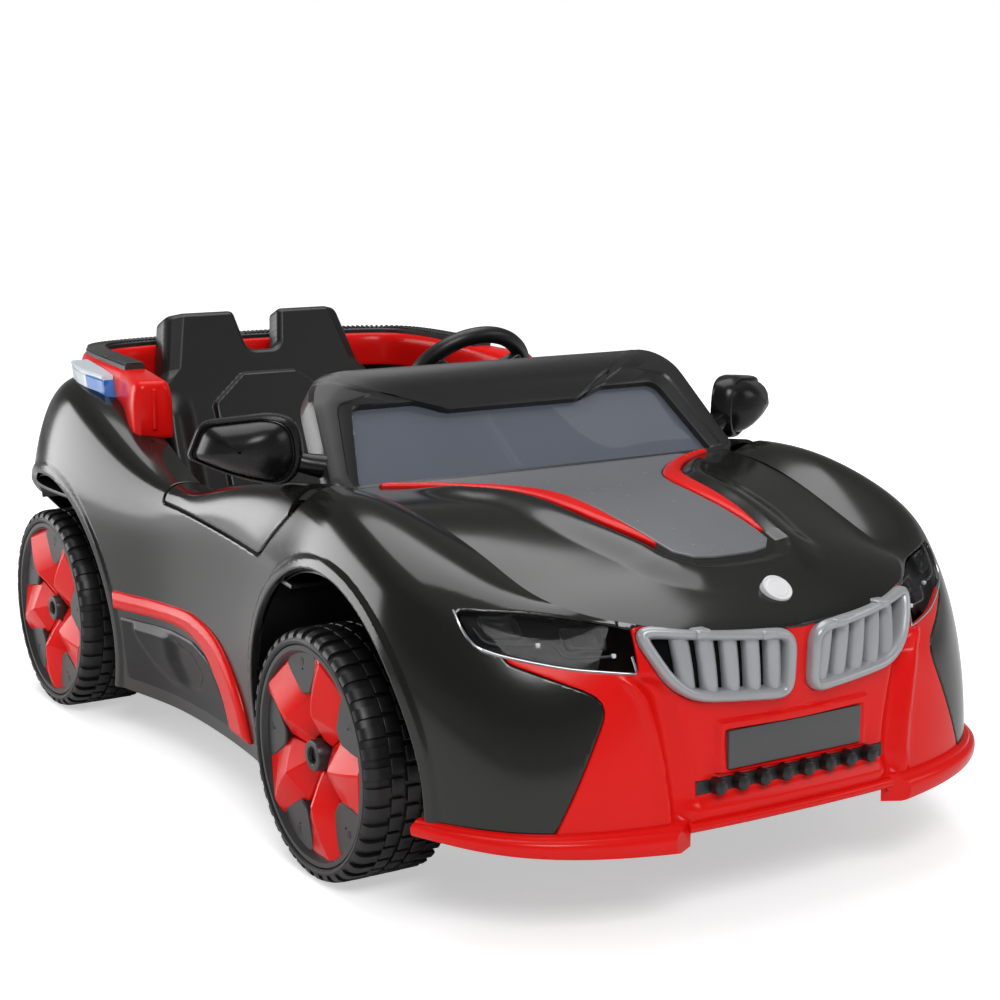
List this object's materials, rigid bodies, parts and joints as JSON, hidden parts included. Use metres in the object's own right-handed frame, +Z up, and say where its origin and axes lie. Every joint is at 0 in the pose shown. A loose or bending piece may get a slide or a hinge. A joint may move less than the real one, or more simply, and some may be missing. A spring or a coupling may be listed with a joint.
{
  "type": "electric ride-on car",
  "caption": "Open electric ride-on sports car for a child, with steered front wheels, driven rear wheels, swing doors, a tinted windscreen and a moulded seat with headrests.",
  "frame": {"origin": "on the ground under the middle of the car", "axes": "+Z up, nose towards -Y, the car's left towards +X"},
  "size_m": [0.753, 1.2275, 0.4889],
  "materials": {
    "body_gloss": "charcoal gloss",
    "red_gloss": "red gloss",
    "hood_grey": "grey gloss",
    "black_matte": "black satin",
    "frame_black": "dark grey satin",
    "tyre_black": "black moulded tread",
    "rim_grey": "dark grey gloss",
    "grille_silver": "silver gloss",
    "lens_clear": "clear",
    "screen_tint": "blue grey tint",
    "tail_lens": "blue white lens",
    "plate_grey": "dark grey",
    "badge_white": "white gloss",
    "steel": "plated steel",
    "gearbox_black": "black",
    "motor_steel": "plated can",
    "battery_grey": "grey case"
  },
  "bodies": {
    "car": {"chassis_tub": "black_matte", "body_side_left": "body_gloss", "body_side_right": "body_gloss", "rear_bumper": "body_gloss", "front_bumper": "red_gloss", "hood": "body_gloss", "hood_insert": "hood_grey", "hood_stripes": "red_gloss", "intake_studs": "black_matte", "grille_left": "grille_silver", "grille_right": "grille_silver", "headlight_left": "black_matte", "headlight_right": "black_matte", "headlight_lens_left": "lens_clear", "headlight_lens_right": "lens_clear", "number_plate": "plate_grey", "badge": "badge_white", "windscreen_frame": "frame_black", "windscreen": "screen_tint", "mirror_left": "body_gloss", "mirror_right": "body_gloss", "side_blade_left": "red_gloss", "side_blade_right": "red_gloss", "side_vents": "black_matte", "rear_surround": "red_gloss", "surround_trim": "black_matte", "tail_lamp_left": "tail_lens", "tail_lamp_right": "tail_lens", "seat": "black_matte", "dashboard": "black_matte", "battery": "battery_grey", "gearboxes": "gearbox_black", "motors": "motor_steel", "rear_axle": "steel", "front_axle": "steel"},
    "door_left": {"door_left": "body_gloss"},
    "door_right": {"door_right": "body_gloss"},
    "steering": {"steering_wheel": "black_matte", "steering_shaft": "steel"},
    "horn": {"horn_button": "black_matte"},
    "knuckle_left": {"knuckle_left": "steel", "axle_nut_left": "steel"},
    "knuckle_right": {"knuckle_right": "steel", "axle_nut_right": "steel"},
    "tie_rod": {"tie_rod": "steel"},
    "pedal": {"pedal": "black_matte"},
    "rocker": {"direction_rocker": "black_matte"},
    "wheel_front_left": {"tyre_front_left": "tyre_black", "rim_cover_front_left": "rim_grey", "spokes_front_left": "red_gloss"},
    "wheel_front_right": {"tyre_front_right": "tyre_black", "rim_cover_front_right": "rim_grey", "spokes_front_right": "red_gloss"},
    "wheel_rear_left": {"tyre_rear_left": "tyre_black", "rim_cover_rear_left": "rim_grey", "spokes_rear_left": "red_gloss"},
    "wheel_rear_right": {"tyre_rear_right": "tyre_black", "rim_cover_rear_right": "rim_grey", "spokes_rear_right": "red_gloss"}
  },
  "joints": [
    {"name": "steering_turn", "type": "hinge", "parent": "car", "child": "steering", "pos_m": [0.078, 0.115, 0.415], "axis": [0, 0.8192, 0.5736], "range_deg": [-45, 45]},
    {"name": "knuckle_left_turn", "type": "hinge", "parent": "car", "child": "knuckle_left", "pos_m": [0.238, -0.292, 0.125], "axis": [0, 0, 1], "range_deg": [-20.5, 20.5]},
    {"name": "knuckle_right_turn", "type": "hinge", "parent": "car", "child": "knuckle_right", "pos_m": [-0.238, -0.292, 0.125], "axis": [0, 0, 1], "range_deg": [-20.5, 20.5]},
    {"name": "tie_rod_turn", "type": "hinge", "parent": "knuckle_right", "child": "tie_rod", "pos_m": [-0.238, -0.252, 0.133], "axis": [0, 0, 1], "range_deg": [-20.5, 20.5]},
    {"name": "wheel_front_left_spin", "type": "hinge", "parent": "knuckle_left", "child": "wheel_front_left", "pos_m": [0.302, -0.292, 0.125], "axis": [1, 0, 0], "continuous": true},
    {"name": "wheel_front_right_spin", "type": "hinge", "parent": "knuckle_right", "child": "wheel_front_right", "pos_m": [-0.302, -0.292, 0.125], "axis": [1, 0, 0], "continuous": true},
    {"name": "wheel_rear_left_spin", "type": "hinge", "parent": "car", "child": "wheel_rear_left", "pos_m": [0.302, 0.425, 0.125], "axis": [1, 0, 0], "continuous": true},
    {"name": "wheel_rear_right_spin", "type": "hinge", "parent": "car", "child": "wheel_rear_right", "pos_m": [-0.302, 0.425, 0.125], "axis": [1, 0, 0], "continuous": true},
    {"name": "door_left_swing", "type": "hinge", "parent": "car", "child": "door_left", "pos_m": [0.285, -0.222, 0.344], "axis": [0, 0, -1], "range_deg": [0, 24]},
    {"name": "door_right_swing", "type": "hinge", "parent": "car", "child": "door_right", "pos_m": [-0.285, -0.222, 0.344], "axis": [0, 0, 1], "range_deg": [0, 24]},
    {"name": "pedal_press", "type": "hinge", "parent": "car", "child": "pedal", "pos_m": [0.025, -0.15, 0.084], "axis": [1, 0, 0], "range_deg": [0, 15], "stiffness_Nm_per_rad": 1.2, "springref_deg": -14.32},
    {"name": "horn_press", "type": "slide", "parent": "steering", "child": "horn", "axis": [0, -0.8192, -0.5736], "range_m": [0, 0.002], "stiffness_N_per_m": 400, "springref_m": -0.002},
    {"name": "direction_rock", "type": "hinge", "parent": "car", "child": "rocker", "pos_m": [-0.02, -0.056, 0.3], "axis": [1, 0, 0], "range_deg": [-10, 10]}
  ],
  "couplings": [
    {"joint": "knuckle_left_turn", "follows": "steering_turn", "ratio": 0.44444},
    {"joint": "knuckle_right_turn", "follows": "steering_turn", "ratio": 0.44444},
    {"joint": "tie_rod_turn", "follows": "steering_turn", "ratio": -0.44444}
  ]
}
